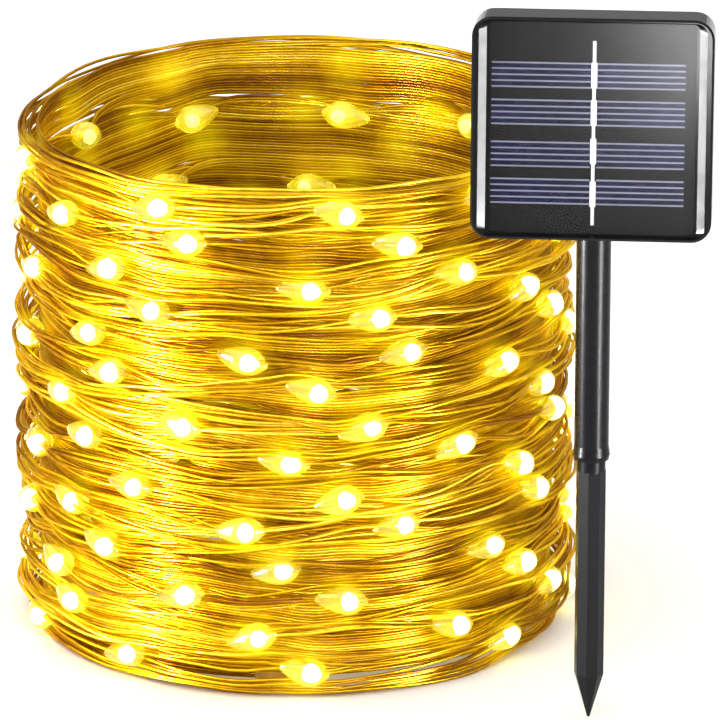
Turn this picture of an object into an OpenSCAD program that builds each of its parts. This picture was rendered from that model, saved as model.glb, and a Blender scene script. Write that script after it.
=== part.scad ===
// Solar string lights: a solar lamp head on a ground stake, and a wound string of drop-shaped LED beads
// on the end of its lead.
// Units are millimetres. +Z is up, the lamp head faces -Y, and the origin is the tip of the ground spike.

/* [Lamp head] */
// Width of the case
case_w = 72; // [71:0.5:80]
// Height of the case
case_h = 67.2; // [67:0.2:76]
// Corner radius of the case
case_r = 6; // [4:0.5:8]
// Thickness of the case's walls
wall = 2.2; // [1.8:0.1:2.6]
// Height of the tilt hinge above the spike's tip
hinge_z = 194; // [190:1:230]
// Lean of the panel from upright, in degrees
panel_tilt = 5; // [0:1:20]

/* [Solar panel] */
// Width of the glazed opening
glass_w = 61.4; // [60:0.2:62]
// Height of the glazed opening
glass_h = 64.2; // [63:0.2:64.2]
// Height of one cell strip
strip_h = 7.7; // [6:0.1:8.5]
// Collecting lines on each strip
fingers = 5; // [3:1:6]

/* [Stake] */
// Outside diameter of the pole
pole_d = 10.6; // [10:0.1:11.2]
// Inside diameter of the pole
pole_bore_d = 7.4; // [7:0.1:7.6]
// Height of the pole's lower end above the spike's tip
pole_z = 84.7; // [80:0.1:90]
// Width of the spike across its flats
spike_w = 8.5; // [8:0.1:9]
// Height of the spike's point
point_h = 14.4; // [10:0.1:20]

/* [String of lights] */
// Height of the wound string
coil_h = 165; // [150:1:166]
// Outer radius of the packed wire, under the beads
coil_r_out = 82.1; // [81:0.1:83]
// Inner radius of the packed wire
coil_r_in = 79; // [77:0.1:80]
// Length of one LED bead
bead_l = 17; // [12:0.5:18]
// Diameter of one LED bead
bead_d = 9.2; // [7:0.1:9.4]
// Rows of beads on the outside
outer_rows = 14; // [10:1:14]
// Beads in one outer row
outer_per_row = 9; // [6:1:10]
// Rows of beads on the inside
inner_rows = 6; // [4:1:8]
// Beads in one inner row
inner_per_row = 8; // [5:1:9]

/* [Lead] */
// Diameter of the lead from the lamp head
lead_d = 2.4; // [2:0.1:2.6]

/* [Hidden] */
$fn = 48;
hull_fn = 32;

plastic = [0.17, 0.17, 0.18];
dark_plastic = [0.09, 0.09, 0.1];
board_green = [0.08, 0.3, 0.16];
steel = [0.7, 0.7, 0.72];
gold_wire = [0.85, 0.55, 0.1];
drop_yellow = [1, 0.86, 0.2];
cable_black = [0.07, 0.07, 0.07];

// Depths along Y, from the front of the lamp head to its back. The hinge axis is at y = 0.
back_y = -8.5;
split_y = -19.5;
front_y = -26.5;
cover_y = -24.7;     // front face of the epoxy cover
cover_t = 1.1;
ribbon_t = 0.15;
cell_t = 0.25;
cell_y = cover_y + cover_t + ribbon_t;
board_y = cell_y + cell_t;
board_t = 1.2;
ledge_y = board_y + board_t;
ledge_w = 3.2;
bevel = 0.7;
glass_r = 1.5;
side_step_w = 0.9;   // width of the flat step between the panel and the frame's sloping sides
side_slope_w = 2.3;  // width of the sloping sides of the front opening
rim_slope_w = 0.6;   // the same at its top and bottom
slope_d = 1.5;
gasket_in = 1.4;     // how far the gasket lies in from the outside of the case
gasket_t = 1;
gasket_w = 1.4;
gap = 0.1;           // clearance between pieces that are only set in place

// The four case screws
screw_x = 31;
screw_z = 29;
screw_post_d = 6.6;
screw_d = 2.2;
screw_head_d = 4.4;
screw_pilot_d = 1.8;

// Buttons, indicator and gland, as [x, z] from the hinge
power_at = [14, -20];
mode_at = [26, -20];
led_at = [20, -11];
gland_at = [-12, -22];
led_d = 1.9;
gland_d = 3.3;
button_d = 7.6;
button_flange_d = 9.4;
button_travel = 0.6;
circuit_t = 1.2;
circuit_y = -15.6;   // front face of the circuit board
plunger_y = back_y - wall - 1.4;
wire_d = 1;          // inner wires
battery_d = 10.2;
battery_l = 44;
battery_x = -21.5;
battery_y = -16.3;
terminal_gap = 3;    // space at each end of the battery for its spring or plate
holder_end_t = 1;

// Hinge
bolt_r = 1.5;
eye_r = 5;
eye_half = 4.4;
bolt_head_r = 2.9;
washer_t = 0.6;
washer_r = 4.6;
ear_in = eye_half + washer_t + 0.1;
ear_t = 3;
ear_r = 6;
knob_x = ear_in + ear_t + 0.2;
knob_l = 7;
knob_d = 12;
nut_w = 5.5;
nut_t = 2.4;
hinge_pad_d = 26;    // raised round pad that the ears stand on
hinge_pad_t = 0.8;

// Stake
collar_z = 13.6;     // drop from the hinge axis to the underside of the arm's collar
collar_t = 2.6;
spigot_l = 18;
spigot_d = pole_bore_d - 0.12;
neck_l = 4;
neck_d = 8.8;
tip_w = 0.8;          // width of the spike's blunt tip
spike_yaw = 15;
facets = 8;

// Wound string: its axis stands behind and to the left of the stake
coil_x = -99.5;
coil_y = 95.5;
bead_gap = 0.2;
outer_r = coil_r_out + bead_gap + bead_d / 2;
inner_r = coil_r_in - bead_gap - bead_d / 2;
outer_first_z = 8;
outer_pitch_z = 11.5;
inner_first_z = 22;
inner_pitch_z = 25;
lead_sector = -30;   // direction in which the lead drops inside the string
lead_clear = 24;     // half the angle around it that is kept free of inner beads
golden = 0.618034;
chip_size = [2.6, 2.6, 1.2];
cap_d = 3.4;
cap_l = 12;
cap_angle = -90;
cap_z = 4;

// Lead, from the gland over the rim of the wound string and down inside it
gland_tip_y = 5.5;
lead_route = [[-12, 3.6, 171.6], [-12, 11, 171], [-13, 20, 170], [-15.5, 29, 169], [-19.5, 38, 168.1],
    [-24.5, 46, 167.4], [-29.5, 53, 166.9], [-34, 58.5, 166.2], [-37.5, 61.5, 163], [-40, 62.5, 157],
    [-41, 62.8, 147], [-41, 62.5, 130], [-41, 62.5, 110], [-41, 62.5, 90], [-41, 62.5, 70],
    [-41, 62.5, 50], [-41.2, 62.6, 34], [-42.6, 64.4, 22], [-46, 69, 13.5], [-51, 75.2, 9.9],
    [-56.5, 82.4, 8.9], [-61.7, 89.3, 8.6]];
route_heading = [-0.6, 0.8];  // plan direction in which the lead meets and leaves its own coil
lead_coil_r = 13.5;
lead_columns = 5;
lead_rows = 4;
lead_pitch = 2.45;
lead_outer_r = lead_coil_r + (lead_columns - 1) / 2 * lead_pitch;
meet = [-61.7, 89.3];
lead_coil_at = meet + lead_outer_r * [-route_heading.y, route_heading.x];
tail_l = 12;
sleeve_l = 22;
sleeve_d = 4.6;
end_gap = 0.25;       // space between the sleeve's ends and the wires that meet it
sleeve_from = meet + (tail_l + end_gap) * route_heading;
sleeve_to = sleeve_from + (sleeve_l + end_gap) * route_heading;
string_route = [[sleeve_to.x, sleeve_to.y, 2.3], [-87, 123.3, 2], [-92, 131.6, 1.6], [-97, 141, 1.4],
    [-102.5, 149.5, 1.4], [-110, 157.5, 1.4], [-119.5, 164.3, 1.5], [-129, 168.2, 1.7]];
string_d = 2.4;

// ---------- shared shapes ----------

// A flat shape in the XZ plane, from depth y0 back to depth y1
module slab(y0, y1) {
    translate([0, y1, 0]) rotate([90, 0, 0]) linear_extrude(y1 - y0) children();
}

module rounded_rect(w, h, r) {
    square([w - 2 * r, h], center = true);
    square([w, h - 2 * r], center = true);
    for (x = [-1, 1], y = [-1, 1]) translate([x * (w / 2 - r), y * (h / 2 - r)]) circle(r);
}

// A cylinder along Y, from depth y0 back to depth y1, at [x, z]
module post(at, d, y0, y1) {
    translate([at.x, y1, at.y]) rotate([90, 0, 0]) cylinder(d = d, h = y1 - y0);
}

// A cylinder along X, from x0 to x1, on the hinge axis
module rod(r, x0, x1) {
    translate([x0, 0, 0]) rotate([0, 90, 0]) cylinder(r = r, h = x1 - x0);
}

module at_corners() {
    for (x = [-1, 1], z = [-1, 1]) translate([x * screw_x, 0, z * screw_z]) children();
}

module at_hinge() {
    translate([0, 0, hinge_z]) children();
}

// The lamp head leans back about the hinge axis
module at_head() {
    at_hinge() rotate([-panel_tilt, 0, 0]) children();
}

// ---------- tubes along a route ----------

function unit(v) = v / norm(v);
function curve_point(a, b, c, d, t) = 0.5 * (2 * b + (c - a) * t + (2 * a - 5 * b + 4 * c - d) * t * t
    + (3 * b - a - 3 * c + d) * t * t * t);
function smooth(p, steps) = [for (i = [0 : len(p) - 2], s = [0 : steps - 1])
    curve_point(p[max(i - 1, 0)], p[i], p[i + 1], p[min(i + 2, len(p) - 1)], s / steps), p[len(p) - 1]];
function heading(p, i) = unit(p[min(i + 1, len(p) - 1)] - p[max(i - 1, 0)]);
function level(v, t) = unit(v - (v * t) * t);
function sides_of(p, i, v) = i >= len(p) ? [] :
    let (u = level(v, heading(p, i))) concat([u], sides_of(p, i + 1, u));

// A closed tube of diameter d with ring centres p
module tube(p, d, sides = 8) {
    n = len(p);
    u = sides_of(p, 0, level([0.3, 0.1, 1], heading(p, 0)));
    points = [for (i = [0 : n - 1], k = [0 : sides - 1])
        let (t = heading(p, i), w = cross(t, u[i]), a = 360 * k / sides)
        p[i] + d / 2 * (cos(a) * u[i] + sin(a) * w)];
    faces = concat([[for (k = [0 : sides - 1]) k]],
        [for (i = [0 : n - 2], k = [0 : sides - 1])
            let (a = i * sides + k, b = i * sides + (k + 1) % sides) [a, a + sides, b + sides, b]],
        [[for (k = [sides - 1 : -1 : 0]) (n - 1) * sides + k]]);
    polyhedron(points = points, faces = faces, convexity = 6);
}

// ---------- lamp head: casing ----------

module front_frame() color(plastic) at_head() difference() {
    hull($fn = hull_fn) {
        slab(front_y + bevel, split_y) rounded_rect(case_w, case_h, case_r);
        slab(front_y, split_y - 1) rounded_rect(case_w - 2 * bevel, case_h - 2 * bevel, case_r - bevel);
    }
    hull($fn = hull_fn) {
        slab(front_y + slope_d - 0.1, front_y + slope_d)
            rounded_rect(glass_w + 2 * side_step_w, glass_h, 2);
        slab(front_y - 1, front_y) rounded_rect(glass_w + 2 * (side_step_w + side_slope_w),
            glass_h + 2 * rim_slope_w, 3.6);
    }
    slab(front_y + 1, ledge_y) rounded_rect(glass_w, glass_h, glass_r);
    slab(ledge_y - 1, split_y + 1) square([glass_w - 2 * ledge_w, glass_h - 2 * ledge_w], center = true);
    gasket_ring(gap, split_y - gasket_t / 2, split_y + 1);
    at_corners() post([0, 0], screw_pilot_d, split_y - 2, split_y + 1);
}

// The loop that the gasket fills, grown by extra on every side
module gasket_ring(extra, y0, y1) slab(y0 - extra, y1 + extra) difference() {
    side = 2 * (extra - gasket_in);
    rounded_rect(case_w + side, case_h + side, case_r - 1);
    inner_side = -2 * (extra + gasket_in + gasket_w);
    rounded_rect(case_w + inner_side, case_h + inner_side, case_r - 1 - gasket_w);
}

module case_gasket() color([0.6, 0.6, 0.6]) at_head()
    gasket_ring(0, split_y - gasket_t / 2, split_y + gasket_t / 2);

module hinge_ears() for (side = [-1, 1]) {
    x0 = side > 0 ? ear_in : -ear_in - ear_t;
    rod(ear_r, x0, x0 + ear_t);
    translate([x0, back_y - 0.5, -ear_r]) cube([ear_t, 0.5 - back_y, 2 * ear_r]);
}

module rear_cover() color(dark_plastic) at_head() difference() {
    union() {
        difference() {
            hull($fn = hull_fn) {
                slab(split_y, back_y - 2) rounded_rect(case_w, case_h, case_r);
                slab(split_y + 1, back_y) rounded_rect(case_w - 3, case_h - 3, case_r - 1.5);
            }
            slab(split_y - 1, back_y - wall)
                rounded_rect(case_w - 2 * wall - 1.6, case_h - 2 * wall - 1.6, 3);
        }
        at_corners() post([0, 0], screw_post_d, split_y, back_y - wall + 0.1);
        for (at = standoffs) post(at, standoff_d, circuit_y + circuit_t, back_y - wall + 0.1);
        post([0, 0], hinge_pad_d, back_y - 1, back_y + hinge_pad_t);
        hinge_ears();
    }
    gasket_ring(gap, split_y - 1, split_y + gasket_t / 2);
    at_corners() {
        post([0, 0], screw_d + 0.2, split_y - 1, back_y + 1);
        post([0, 0], screw_head_d + 0.4, back_y - 2.4, back_y + 1);
    }
    for (at = [power_at, mode_at]) {
        post(at, button_d + 0.3, split_y, back_y + 1);
        post(at, button_d + 3, back_y - 0.5, back_y + 1);
    }
    post(led_at, led_d + 0.3, split_y, back_y + 1);
    post(gland_at, gland_d + 0.1, split_y, back_y + 1);
    rod(bolt_r + 0.02, -ear_in - ear_t - 1, ear_in + ear_t + 1);
}

module case_screws() color(steel) at_head() at_corners() difference() {
    union() {
        post([0, 0], screw_d, split_y - 1.8, back_y - 2.4);
        post([0, 0], screw_head_d, back_y - 2.4, back_y - 0.8);
    }
    for (a = [0, 90]) translate([0, back_y - 0.8, 0]) rotate([0, a, 0])
        cube([2.8, 1.6, 0.6], center = true);
}

// ---------- lamp head: solar panel ----------

strip_steps = [-19.3, -8.1, 4.6, 15.9];   // heights of the strips above the panel's middle
strip_w = 57.6;
strip_x = -1.3;
finger_h = 0.45;
busbar_x = 0.4;
busbar_w = 1;
busbar_l = 55.7;
busbar_z = -1.5;
pad_steps = [-19.9, -6.9, 4.7, 16];
pad_w = 1.8;

module cell_strip(i) color([0.06, 0.07, 0.3]) at_head() translate([strip_x, 0, strip_steps[i]])
    slab(cell_y, board_y) square([strip_w, strip_h], center = true);

module finger_lines() color([0.75, 0.77, 0.9]) at_head() {
    left = strip_x - strip_w / 2;
    middle = [busbar_x - pad_w / 2 - gap, busbar_x + pad_w / 2 + gap];
    for (z = strip_steps, k = [0 : fingers - 1]) translate([0, 0, z - strip_h / 2])
        slab(cell_y - ribbon_t, cell_y) translate([0, k / (fingers - 1) * (strip_h - finger_h)]) {
            translate([left, 0]) square([middle[0] - left, finger_h]);
            translate([middle[1], 0]) square([left + strip_w - middle[1], finger_h]);
        }
}

module busbar() color([0.93, 0.93, 0.93]) at_head() translate([busbar_x, 0, 0])
    slab(cell_y - ribbon_t, cell_y) {
        translate([0, busbar_z]) square([busbar_w, busbar_l], center = true);
        for (z = pad_steps) translate([0, z]) square([pad_w, strip_h], center = true);
    }

module cell_board() color(dark_plastic) at_head() slab(board_y, board_y + board_t)
    rounded_rect(glass_w - 2 * gap, glass_h - 2 * gap, glass_r);

module epoxy_cover() color([0.3, 0.3, 0.34, 0.35]) at_head() slab(cover_y, cover_y + cover_t)
    rounded_rect(glass_w - 2 * gap, glass_h - 2 * gap, glass_r);

// ---------- lamp head: electronics and battery ----------

circuit_size = [21.5, 18.5];
circuit_at = [18.5, -16.5];
standoffs = [[10.5, -10.5], [20, -23.5]];
standoff_d = 3.6;

module circuit_board() color(board_green) at_head() translate([circuit_at.x, 0, circuit_at.y])
    slab(circuit_y, circuit_y + circuit_t) square(circuit_size, center = true);

module control_chip() color(dark_plastic) at_head() translate([circuit_at.x - 5, 0, circuit_at.y - 4.5]) {
    slab(circuit_y - 1.5, circuit_y - 0.1) square([4.9, 3.9], center = true);
    for (side = [-1, 1], k = [-1.5 : 1 : 1.5]) translate([k * 1.27, 0, side * 2.45])
        slab(circuit_y - 0.9, circuit_y) square([0.45, 1], center = true);
}

module boost_coil() color([0.5, 0.2, 0.08]) at_head() {
    translate([circuit_at.x + 6, 0, circuit_at.y - 5]) {
        post([0, 0], 6, circuit_y - 0.8, circuit_y);
        post([0, 0], 4.4, circuit_y - 3, circuit_y - 0.8);
        post([0, 0], 6, circuit_y - 3.8, circuit_y - 3);
    }
}

module tact_switches() color(steel) at_head() for (at = [power_at, mode_at]) {
    translate([at.x, 0, at.y]) slab(circuit_y + circuit_t, circuit_y + circuit_t + 1.3)
        square([4.4, 4.4], center = true);
    post(at, 2, circuit_y + circuit_t + 1.3, plunger_y - 0.2);
}

module indicator_led() color([0.9, 0.3, 0.2]) at_head()
    post(led_at, led_d, circuit_y + circuit_t, back_y - 0.2);

module battery_cell() color(steel) at_head() translate([battery_x, battery_y, 0]) {
    translate([0, 0, -battery_l / 2]) cylinder(d = battery_d - 0.6, h = battery_l - 0.8);
    translate([0, 0, battery_l / 2 - 0.8]) cylinder(d = 3.6, h = 0.8);
}

module battery_sleeve() color([0.15, 0.4, 0.2]) at_head() translate([battery_x, battery_y, 0])
    difference() {
        translate([0, 0, -battery_l / 2 + 0.6]) cylinder(d = battery_d, h = battery_l - 2);
        translate([0, 0, -battery_l / 2]) cylinder(d = battery_d - 0.5, h = battery_l);
    }

module battery_spring() color(steel) at_head() {
    turns = 3;
    steps = 14;
    spring_wire_d = 0.6;
    low = -battery_l / 2 - terminal_gap + spring_wire_d / 2 + 0.1;
    climb = terminal_gap - spring_wire_d - 0.3;
    tube([for (i = [0 : turns * steps]) let (a = 360 * i / steps, r = 3.4 - 1.2 * i / (turns * steps))
        [battery_x + r * cos(a), battery_y + r * sin(a), low + climb * i / (turns * steps)]],
        spring_wire_d, 6);
}

module battery_plate() color(steel) at_head()
    translate([battery_x - 3.6, battery_y - 3.2, battery_l / 2 + 0.2]) cube([7.2, 6.4, 0.5]);

module battery_holder() color(dark_plastic) at_head() {
    half = battery_l / 2 + terminal_gap;
    width = 9.2;
    back = back_y - wall - gap;
    rail_y = back - 1.4;
    for (z = [-half - holder_end_t, half]) translate([battery_x - width / 2, battery_y - 4, z])
        cube([width, back - battery_y + 4, holder_end_t]);
    for (x = [-width / 2, width / 2 - 1]) translate([battery_x + x, rail_y, -half - holder_end_t / 2])
        cube([1, back - rail_y, 2 * half + holder_end_t]);
    for (z = [-14, 14]) translate([battery_x, 0, z]) difference() {
        translate([-width / 2, battery_y + 2.4, -3]) cube([width, back - battery_y - 2.4, 6]);
        translate([0, battery_y, -4]) cylinder(d = battery_d + 0.2, h = 8);
    }
}

// From the panel's two pads to the circuit board's front
module panel_wires() at_head() {
    y1 = ledge_y + 0.5;
    y2 = ledge_y + 2.2;
    y3 = circuit_y - 1.2;
    y4 = circuit_y - 0.7;
    color("red") tube(smooth([[10, y1, 8], [11, y2, 4], [13, y3, -2], [14, y4, -9.5]], 4), wire_d);
    color(cable_black) tube(smooth([[2, y1, 8], [4, y2, 4], [8, y3, -2], [10, y4, -9.5]], 4), wire_d);
}

// From the battery's two contacts to the circuit board's edge
module battery_wires() at_head() {
    top = battery_l / 2 + 0.45;
    x = battery_x;
    y = battery_y;
    y2 = circuit_y + 0.6;
    color("red") tube(smooth([[x + 4.2, y, top], [-12, y, 18], [-6, y + 1, 4], [2, y2, -6],
        [7, y2, -12]], 4), wire_d);
    color(cable_black) tube(smooth([[x + 5.6, y, 3 - top], [-12, y, -24.5], [-4, y2, -24],
        [7, y2, -22]], 4), wire_d);
}

// ---------- lamp head: buttons and gland ----------

module button(at) {
    post(at, button_d, back_y - wall - 0.4, back_y + 0.9);
    post(at, button_flange_d, back_y - wall - 0.8, back_y - wall - 0.05);
    post(at, 2.4, plunger_y + button_travel, back_y - wall - 0.6);
}

module power_button() color([0.55, 0.08, 0.07]) at_head() button(power_at);

module mode_button() color([0.35, 0.36, 0.38]) at_head() button(mode_at);

module lead_gland() color(cable_black) at_head() translate([gland_at.x, 0, gland_at.y])
    rotate([-90, 0, 0]) {
        translate([0, 0, back_y - wall - 1.2]) cylinder(d = 5.4, h = 1.15);
        translate([0, 0, back_y - wall - 0.1]) cylinder(d = gland_d, h = wall + 0.2);
        translate([0, 0, back_y + 0.05]) cylinder(d = 7, h = 2);
        translate([0, 0, back_y + 2]) cylinder(d1 = 6, d2 = 3.4, h = gland_tip_y - back_y - 2);
    }

// ---------- tilt hinge ----------

module hinge_bolt() color(steel) at_hinge() {
    rod(bolt_r, -ear_in - ear_t - 0.5, knob_x + knob_l - 1.2);
    difference() {
        rod(bolt_head_r, -ear_in - ear_t - 2.2, -ear_in - ear_t - 0.02);
        translate([-ear_in - ear_t - 2.3, 0, 0]) rotate([0, 90, 0]) cylinder(d = 3, h = 1.3, $fn = 6);
    }
}

module friction_washers() color(cable_black) at_hinge()
    for (x = [eye_half + 0.05, -eye_half - 0.05 - washer_t]) difference() {
        rod(washer_r, x, x + washer_t);
        rod(bolt_r + 0.05, x - 1, x + washer_t + 1);
    }

module thumb_knob() color(plastic) at_hinge() difference() {
    grips = 10;
    rod(knob_d / 2, knob_x, knob_x + knob_l);
    for (i = [0 : grips - 1]) rotate([360 * i / grips, 0, 0])
        translate([knob_x + 1.2, 0, knob_d / 2 + 0.6]) rotate([0, 90, 0])
            cylinder(d = 2.4, h = knob_l);
    rod(bolt_r + 0.1, knob_x - 1, knob_x + knob_l - 1);
    translate([knob_x - 1, 0, 0]) rotate([0, 90, 0])
        cylinder(d = (nut_w + 0.1) / cos(30), h = nut_t + 1.1, $fn = 6);
}

module knob_nut() color(steel) at_hinge() difference() {
    translate([knob_x + 0.02, 0, 0]) rotate([0, 90, 0]) cylinder(d = nut_w / cos(30), h = nut_t, $fn = 6);
    rod(bolt_r + 0.05, knob_x - 1, knob_x + nut_t + 1);
}

module tilt_arm() color(plastic) at_hinge() difference() {
    union() {
        rod(eye_r, -eye_half, eye_half);
        translate([0, 0, -collar_z + collar_t - 0.5]) cylinder(d = 8, h = collar_z - collar_t - 2);
        translate([0, 0, -collar_z]) cylinder(d = pole_d, h = collar_t);
        difference() {
            translate([0, 0, -collar_z - spigot_l]) cylinder(d = spigot_d, h = spigot_l + 0.5);
            translate([0, 0, -collar_z - 5.3]) o_ring(0.55);
        }
    }
    rod(bolt_r + 0.06, -eye_half - 1, eye_half + 1);
}

module o_ring(r) rotate_extrude() translate([spigot_d / 2 - 0.45, 0]) circle(r, $fn = 16);

module arm_o_ring() color([0.3, 0.05, 0.05]) at_hinge() translate([0, 0, -collar_z - 5.3]) o_ring(0.43);

// ---------- stake ----------

module pole_tube() color(plastic) difference() {
    union() {
        translate([0, 0, pole_z]) cylinder(d = pole_d, h = hinge_z - collar_z - 0.2 - pole_z);
        translate([0, 0, pole_z + 1.5]) cylinder(d1 = pole_d + 0.8, d2 = pole_d, h = 3);
        translate([0, 0, pole_z]) cylinder(d1 = pole_d + 0.2, d2 = pole_d + 0.8, h = 1.5);
    }
    translate([0, 0, pole_z - 1]) cylinder(d = pole_bore_d, h = hinge_z);
}

// A prism with pointed end, its tip at z = 0
module spike_body() {
    across = spike_w / cos(180 / facets);
    slope = atan((spike_w - tip_w) / 2 / point_h);
    rotate([0, 0, spike_yaw]) difference() {
        rotate([0, 0, 180 / facets]) cylinder(d = across, h = pole_z - neck_l + 0.5, $fn = facets);
        for (i = [0 : facets - 1]) rotate([0, 0, i * 360 / facets])
            translate([tip_w / 2, 0, 0]) rotate([0, slope, 0]) translate([0, -spike_w, -spike_w])
                cube([spike_w, 2 * spike_w, 4 * spike_w]);
    }
}

module ground_spike() color(dark_plastic) {
    spike_body();
    translate([0, 0, pole_z - neck_l]) cylinder(d = neck_d, h = neck_l - 0.05);
    translate([0, 0, pole_z - 0.5]) cylinder(d = pole_bore_d - 0.04, h = 16);
}

// ---------- lead ----------

module lead_cable() color(cable_black) tube(smooth(lead_route, 2), lead_d);

module lead_coil() color(cable_black) translate([lead_coil_at.x, lead_coil_at.y, 0]) rotate_extrude() {
    half = lead_columns * lead_pitch / 2;
    translate([lead_coil_r - half, 0]) square([2 * half, lead_rows * lead_pitch]);
}

module lead_tail() color(cable_black)
    tube([for (s = [0, 0.5, 1]) let (p = meet + s * tail_l * route_heading)
        [p.x, p.y, lead_d / 2 + s]], lead_d);

module splice_sleeve() color(cable_black) translate([sleeve_from.x, sleeve_from.y, sleeve_d / 2])
    rotate([0, 90, atan2(route_heading.y, route_heading.x)]) cylinder(d = sleeve_d, h = sleeve_l);

module string_tail() color(gold_wire) tube(smooth(string_route, 3), string_d);

// ---------- wound string ----------

module wire_coil() color(gold_wire) translate([coil_x, coil_y, 0]) rotate_extrude($fn = 96) {
    translate([coil_r_in, 1]) square([coil_r_out - coil_r_in, coil_h - 2]);
    translate([coil_r_in + 1, 0]) square([coil_r_out - coil_r_in - 2, coil_h]);
    for (r = [coil_r_in + 1, coil_r_out - 1], z = [1, coil_h - 1]) translate([r, z]) circle(1);
}

// Half outline of a drop: a long taper where the wire enters, widest past its middle, a short nib behind
drop_outline = [[0, 0], [0.07, 0], [0.12, 0.02], [0.21, 0.1], [0.32, 0.22], [0.42, 0.36], [0.48, 0.5],
    [0.5, 0.62], [0.46, 0.74], [0.35, 0.85], [0.18, 0.94], [0.09, 1], [0, 1]];
chip_at = 0.63;

module drop() translate([0, 0, -bead_l / 2]) difference() {
    rotate_extrude($fn = 24) polygon([for (p = drop_outline) [p.x * bead_d, p.y * bead_l]]);
    translate([0, 0, chip_at * bead_l]) cube(chip_size + 0.2 * [1, 1, 1], center = true);
}

module chip() translate([0, 0, (chip_at - 0.5) * bead_l]) cube(chip_size, center = true);

function outer_angle(i, k) = 360 / outer_per_row * (k + (i * golden) % 1)
    + 5 * sin(97 * (i * outer_per_row + k));
function outer_z(i, k) = outer_first_z + outer_pitch_z * i + 0.9 * sin(61 * (i * outer_per_row + k));
function inner_angle(i, k) = lead_sector + lead_clear
    + (360 - 2 * lead_clear) * (k + 0.2 + 0.6 * ((i * golden) % 1)) / inner_per_row;
function inner_z(i, k) = inner_first_z + inner_pitch_z * i + 3 * sin(83 * (i * inner_per_row + k));
function slant(i, k) = 14 * sin(139 * (i * 5 + k));

// Places children on the wound string, their own Z axis along the wire and turned by tilt
module on_string(r, angle, z, tilt) translate([coil_x, coil_y, z]) rotate([0, 0, angle])
    translate([r, 0, 0]) rotate([tilt - 90, 0, 0]) children();

module on_outside() for (i = [0 : outer_rows - 1], k = [0 : outer_per_row - 1])
    on_string(outer_r, outer_angle(i, k), outer_z(i, k), slant(i, k)) children();

module on_inside() for (i = [0 : inner_rows - 1], k = [0 : inner_per_row - 1])
    on_string(inner_r, inner_angle(i, k), inner_z(i, k), slant(i, k)) children();

module drops_outer() color(drop_yellow) on_outside() drop();

module drops_inner() color(drop_yellow) on_inside() drop();

module chips_outer() color([1, 1, 0.8]) on_outside() chip();

module chips_inner() color([1, 1, 0.8]) on_inside() chip();

// The string's sealed far end, inside the foot of the winding
module end_cap() color(gold_wire) on_string(coil_r_in - cap_d / 2 - 0.4, cap_angle, cap_z, 0)
    translate([0, 0, -cap_l / 2]) cylinder(d = cap_d, h = cap_l);

// ---------- nodes ----------

front_frame();
epoxy_cover();
cell_strip(0);  // cell_strip_1
cell_strip(1);  // cell_strip_2
cell_strip(2);  // cell_strip_3
cell_strip(3);  // cell_strip_4
finger_lines();
busbar();
cell_board();
case_gasket();
rear_cover();
case_screws();
circuit_board();
control_chip();
boost_coil();
tact_switches();
indicator_led();
battery_cell();
battery_sleeve();
battery_spring();
battery_plate();
battery_holder();
panel_wires();
battery_wires();
lead_gland();
power_button();
mode_button();
hinge_bolt();
friction_washers();
thumb_knob();
knob_nut();
tilt_arm();
arm_o_ring();
pole_tube();
ground_spike();
lead_cable();
lead_coil();
lead_tail();
splice_sleeve();
string_tail();
wire_coil();
drops_outer();
drops_inner();
chips_outer();
chips_inner();
end_cap();
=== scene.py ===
"""The looks of the solar string lights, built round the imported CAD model. Every size is in metres."""

import math
import random

import bpy
import numpy as np
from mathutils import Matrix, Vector


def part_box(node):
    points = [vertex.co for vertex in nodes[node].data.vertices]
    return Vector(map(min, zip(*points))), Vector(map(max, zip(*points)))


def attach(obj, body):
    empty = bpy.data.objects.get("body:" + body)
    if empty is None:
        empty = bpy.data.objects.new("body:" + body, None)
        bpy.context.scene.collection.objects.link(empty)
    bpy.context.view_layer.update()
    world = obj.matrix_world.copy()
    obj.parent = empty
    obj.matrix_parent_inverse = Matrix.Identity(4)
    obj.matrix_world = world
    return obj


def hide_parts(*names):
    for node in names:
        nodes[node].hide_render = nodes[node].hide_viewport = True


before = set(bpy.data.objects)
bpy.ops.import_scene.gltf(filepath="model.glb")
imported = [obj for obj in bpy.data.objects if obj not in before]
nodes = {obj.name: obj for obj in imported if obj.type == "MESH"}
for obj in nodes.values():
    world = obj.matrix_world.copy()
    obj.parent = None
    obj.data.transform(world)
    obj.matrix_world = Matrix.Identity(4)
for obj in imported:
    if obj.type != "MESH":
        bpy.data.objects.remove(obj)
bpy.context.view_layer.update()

MM = 0.001
TURN = 2 * math.pi

# The wound string's place and size, from its CAD solid
coil_lo, coil_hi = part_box("wire_coil")
COIL_AT = (coil_lo + coil_hi) / 2
PACKED_R = (coil_hi.x - coil_lo.x) / 2
PACKED_T = 3.1 * MM
COIL_H = coil_hi.z

# The beads, as in the CAD source
BEAD_L, BEAD_D = 17 * MM, 9.2 * MM
BEAD_GAP = 0.2 * MM
OUTER_ROWS, OUTER_PER_ROW = 14, 9
INNER_ROWS, INNER_PER_ROW = 6, 8
OUTER_FIRST_Z, OUTER_PITCH_Z = 8 * MM, 11.5 * MM
INNER_FIRST_Z, INNER_PITCH_Z = 22 * MM, 25 * MM
OUTER_R = PACKED_R + BEAD_GAP + BEAD_D / 2
INNER_R = PACKED_R - PACKED_T - BEAD_GAP - BEAD_D / 2
LEAD_SECTOR, LEAD_CLEAR = -30, 24
GOLDEN = 0.618034

# The string: three strands of enamelled wire
STRAND_D = 1.1 * MM
STRAND_SPREAD = 0.95 * MM
OUTER_TURNS, INNER_TURNS = 52, 59
RING_STEP = 5.5 * MM
# How far out each strand lies from the string's centreline, and how much further where the string is loose
STRAND_DEPTHS = (0, 0.25 * MM, 0)
LOOSE_DEPTHS = (-1.9 * MM, 0.5 * MM, -0.7 * MM)
STRAND_SIDES = 6
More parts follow.
